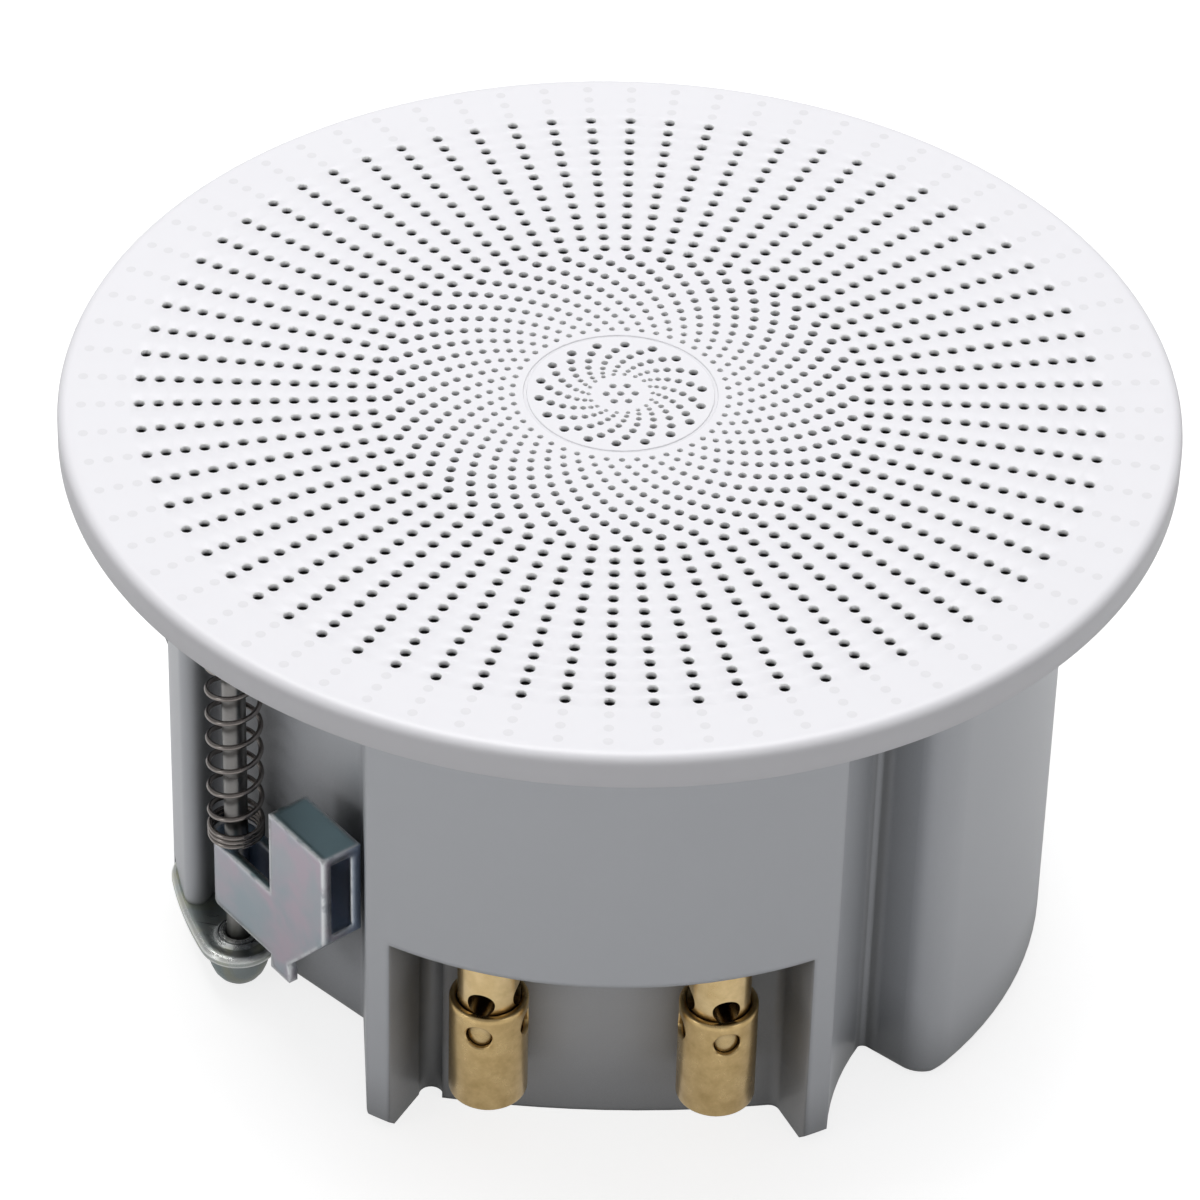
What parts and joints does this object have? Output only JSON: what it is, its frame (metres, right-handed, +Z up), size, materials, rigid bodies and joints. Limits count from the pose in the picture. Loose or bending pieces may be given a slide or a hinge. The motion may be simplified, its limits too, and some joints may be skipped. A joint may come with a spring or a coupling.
{
  "type": "in-ceiling speaker",
  "caption": "Recessed ceiling loudspeaker with a round perforated cover, swing-out clamps for a ceiling cut-out and sprung push terminals.",
  "frame": {"origin": "centre of the can's underside", "axes": "+Z up through the cover, -Y towards the terminals"},
  "size_m": [0.12, 0.12, 0.068],
  "materials": {
    "white_plastic": "smooth satin moulding",
    "frame_plastic": "plain moulding",
    "grey_plastic": "smooth satin moulding",
    "cloth": "open weave",
    "zinc_steel": "zinc plated, faintly iridescent",
    "dark_steel": "drawn rod",
    "spring_steel": "bare drawn wire",
    "brass": "turned, lightly aged",
    "tinned_brass": "tinned",
    "black_steel": "black paint",
    "bare_steel": "plated",
    "rubber": "matt",
    "cone_sheet": "pressed sheet",
    "former_foil": "foil",
    "copper": "enamelled wire",
    "strip_board": "laminate",
    "lead_sheath": "flexible sheath"
  },
  "bodies": {
    "speaker": {"front_grille": "white_plastic", "scrim_cloth": "cloth", "front_frame": "frame_plastic", "rear_can": "grey_plastic", "foot_plate_left": "zinc_steel", "foot_plate_right": "zinc_steel", "foot_plate_screws": "zinc_steel", "terminal_post_left": "brass", "terminal_post_right": "brass", "terminal_spring_left": "spring_steel", "terminal_spring_right": "spring_steel", "terminal_nut_left": "brass", "terminal_nut_right": "brass", "solder_tag_left": "tinned_brass", "solder_tag_right": "tinned_brass", "driver_basket": "black_steel", "motor_yoke": "bare_steel", "magnet_disc": "bare_steel", "pole_plate": "bare_steel", "surround": "rubber", "spider": "cloth", "driver_screws": "zinc_steel", "driver_terminal_strip": "strip_board", "lead_left": "lead_sheath", "lead_right": "lead_sheath"},
    "cone_assembly": {"cone": "cone_sheet", "dust_cap": "cone_sheet", "voice_coil_former": "former_foil", "voice_coil_winding": "copper"},
    "screw_left": {"clamp_screw_left": "dark_steel", "clamp_nut_left": "zinc_steel", "clamp_spring_left": "spring_steel"},
    "jaw_left": {"clamp_jaw_left": "zinc_steel"},
    "sleeve_left": {"terminal_sleeve_left": "brass"},
    "screw_right": {"clamp_screw_right": "dark_steel", "clamp_nut_right": "zinc_steel", "clamp_spring_right": "spring_steel"},
    "jaw_right": {"clamp_jaw_right": "zinc_steel"},
    "sleeve_right": {"terminal_sleeve_right": "brass"}
  },
  "joints": [
    {"name": "clamp_turn_left", "type": "hinge", "parent": "speaker", "child": "screw_left", "pos_m": [-0.04049, -0.0201, 0], "axis": [0, 0, -1], "range_deg": [0, 100]},
    {"name": "jaw_slide_left", "type": "slide", "parent": "screw_left", "child": "jaw_left", "axis": [0, 0, 1], "range_m": [0, 0.025], "deforming": ["clamp_spring_left"]},
    {"name": "terminal_push_left", "type": "slide", "parent": "speaker", "child": "sleeve_left", "axis": [0, 0, 1], "range_m": [0, 0.004], "stiffness_N_per_m": 400, "springref_m": -0.002, "deforming": ["terminal_spring_left"]},
    {"name": "clamp_turn_right", "type": "hinge", "parent": "speaker", "child": "screw_right", "pos_m": [0.04049, 0.0201, 0], "axis": [0, 0, -1], "range_deg": [0, 100]},
    {"name": "jaw_slide_right", "type": "slide", "parent": "screw_right", "child": "jaw_right", "axis": [0, 0, 1], "range_m": [0, 0.025], "deforming": ["clamp_spring_right"]},
    {"name": "terminal_push_right", "type": "slide", "parent": "speaker", "child": "sleeve_right", "axis": [0, 0, 1], "range_m": [0, 0.004], "stiffness_N_per_m": 400, "springref_m": -0.002, "deforming": ["terminal_spring_right"]},
    {"name": "cone_travel", "type": "slide", "parent": "speaker", "child": "cone_assembly", "axis": [0, 0, 1], "range_m": [-0.0012, 0.0012], "stiffness_N_per_m": 900, "deforming": ["surround", "spider"]}
  ]
}
